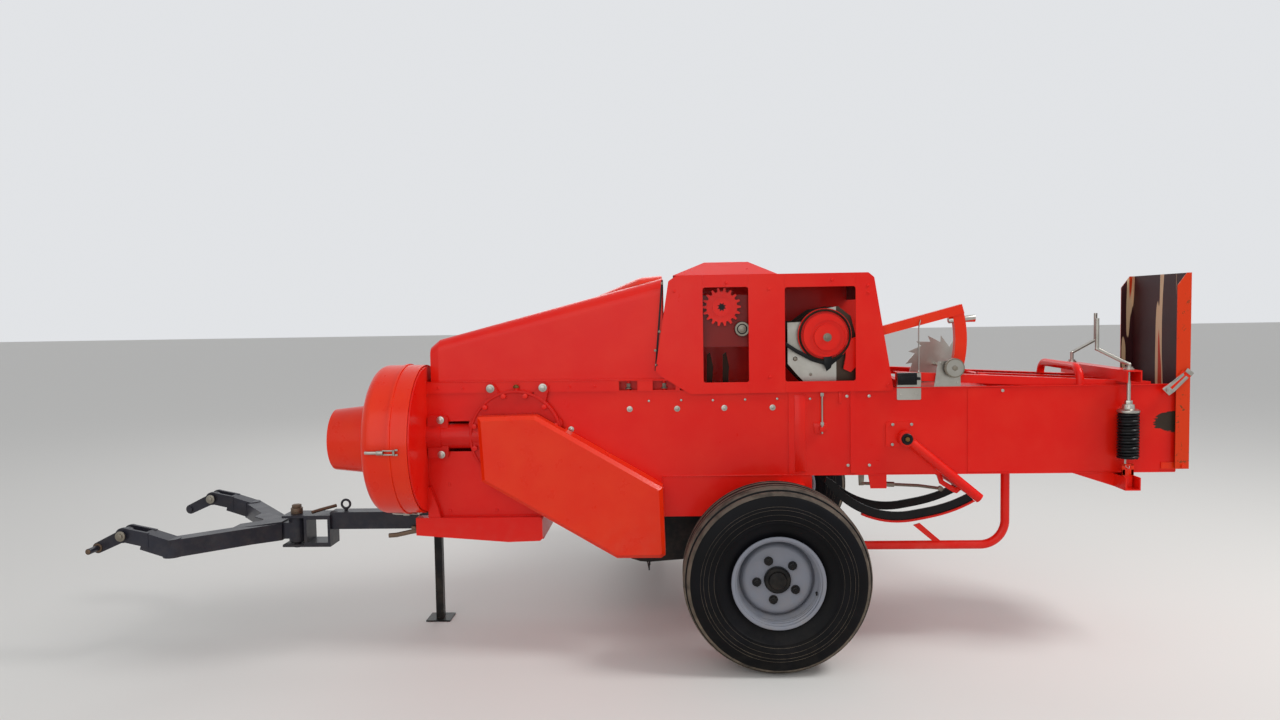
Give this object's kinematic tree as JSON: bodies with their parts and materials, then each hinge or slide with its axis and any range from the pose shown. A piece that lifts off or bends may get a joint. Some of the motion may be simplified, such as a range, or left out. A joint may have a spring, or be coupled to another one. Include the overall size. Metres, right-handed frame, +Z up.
{
  "type": "small square baler",
  "caption": "Towed small square baler: flywheel guard, sloping hood, open knotter housing, long bale chamber, side pickup, folded chute and a swinging two-pin drawbar.",
  "frame": {"origin": "middle of the footprint on the ground, under the centre of the outline box", "axes": "+X towards the rear (bale chute), +Y towards the pickup side (machine's right), +Z up"},
  "size_m": [5.208, 2.6, 1.894],
  "materials": {
    "red_paint": "gloss paint",
    "orange_paint": "gloss paint",
    "slate_paint": "semi-gloss paint",
    "rim_paint": "satin paint",
    "black_paint": "semi-gloss paint",
    "worn_steel": "worn and rusted",
    "zinc": "zinc plated",
    "tyre_rubber": "matt rubber",
    "cast_red": "painted casting"
  },
  "bodies": {
    "body": {"left_wall": "red_paint", "right_wall": "red_paint", "chamber_plates": "red_paint", "front_body": "red_paint", "bottom_pan": "red_paint", "front_bulkhead": "red_paint", "top_beams": "red_paint", "under_frame": "red_paint", "axle": "red_paint", "gearbox": "cast_red", "drive_guard": "orange_paint", "flywheel_guard": "orange_paint", "front_hood": "red_paint", "hood_hump": "orange_paint", "knotter_housing": "red_paint", "knotter_frame": "zinc", "knotter_drive": "orange_paint", "feed_chamber": "red_paint", "wind_guard": "black_paint", "twine_box": "red_paint", "needle_guard": "red_paint", "tension_frame": "red_paint", "tension_springs": "black_paint", "tension_cranks": "zinc", "meter_bracket": "zinc", "trip_arm": "orange_paint", "chute_hinges": "zinc"},
    "flywheel_body": {"flywheel": "slate_paint"},
    "left_wheel": {"left_tyre": "tyre_rubber", "left_rim": "rim_paint"},
    "right_wheel": {"right_tyre": "tyre_rubber", "right_rim": "rim_paint"},
    "pickup": {"pickup_frame": "black_paint"},
    "reel": {"pickup_reel": "black_paint"},
    "gauge": {"gauge_wheel": "tyre_rubber"},
    "needle_body": {"needle_yoke": "red_paint", "needles": "black_paint"},
    "plunger_body": {"plunger": "red_paint"},
    "metering": {"star_wheel": "zinc"},
    "chute_body": {"chute": "worn_steel"},
    "twine_lid_body": {"twine_lid": "red_paint"},
    "jack": {"jack_leg": "black_paint"},
    "drawbar_body": {"drawbar": "slate_paint"},
    "fork": {"hitch_fork": "slate_paint"},
    "left_hitch_link": {"left_link": "slate_paint"},
    "right_hitch_link": {"right_link": "slate_paint"}
  },
  "joints": [
    {"name": "left_wheel_spin", "type": "hinge", "parent": "body", "child": "left_wheel", "pos_m": [0.639, -1.155, 0.43], "axis": [0, 1, 0], "continuous": true},
    {"name": "right_wheel_spin", "type": "hinge", "parent": "body", "child": "right_wheel", "pos_m": [0.939, 1.155, 0.43], "axis": [0, 1, 0], "continuous": true},
    {"name": "flywheel_spin", "type": "hinge", "parent": "body", "child": "flywheel_body", "pos_m": [-1.141, -0.92, 1.065], "axis": [1, 0, 0], "continuous": true},
    {"name": "pickup_lift", "type": "hinge", "parent": "body", "child": "pickup", "pos_m": [0.439, 0.275, 0.812], "axis": [0, 1, 0], "range_deg": [-14, 0]},
    {"name": "reel_spin", "type": "hinge", "parent": "pickup", "child": "reel", "pos_m": [0.029, 0.275, 0.525], "axis": [0, 1, 0], "continuous": true},
    {"name": "gauge_wheel_spin", "type": "hinge", "parent": "pickup", "child": "gauge", "pos_m": [-0.061, 0.99, 0.42], "axis": [0, 1, 0], "continuous": true},
    {"name": "needle_swing", "type": "hinge", "parent": "body", "child": "needle_body", "pos_m": [1.279, -0.685, 1.035], "axis": [0, 1, 0], "range_deg": [0, 95]},
    {"name": "plunger_slide", "type": "slide", "parent": "body", "child": "plunger_body", "axis": [1, 0, 0], "range_m": [0, 0.7]},
    {"name": "metering_spin", "type": "hinge", "parent": "body", "child": "metering", "pos_m": [1.508, -0.685, 1.367], "axis": [0, 1, 0], "continuous": true},
    {"name": "chute_fold", "type": "hinge", "parent": "body", "child": "chute_body", "pos_m": [2.574, -0.685, 0.888], "axis": [0, 1, 0], "range_deg": [0, 90]},
    {"name": "twine_lid_hinge", "type": "hinge", "parent": "body", "child": "twine_lid_body", "pos_m": [0.619, -0.4037, 1.647], "axis": [1, 0, 0], "range_deg": [0, 85]},
    {"name": "jack_slide", "type": "slide", "parent": "body", "child": "jack", "axis": [0, 0, 1], "range_m": [0, 0.35]},
    {"name": "drawbar_swing", "type": "hinge", "parent": "body", "child": "drawbar_body", "pos_m": [-0.811, -0.685, 0.606], "axis": [0, 0, 1], "range_deg": [-22, 22]},
    {"name": "coupling_swing", "type": "hinge", "parent": "drawbar_body", "child": "fork", "pos_m": [-1.791, -0.685, 0.555], "axis": [0, 0, 1], "range_deg": [-30, 30]},
    {"name": "left_link_swing", "type": "hinge", "parent": "fork", "child": "left_hitch_link", "pos_m": [-2.436, -1.11, 0.64], "axis": [0, 1, 0], "range_deg": [-30, 45]},
    {"name": "right_link_swing", "type": "hinge", "parent": "fork", "child": "right_hitch_link", "pos_m": [-2.436, -0.26, 0.64], "axis": [0, 1, 0], "range_deg": [-30, 45]}
  ]
}
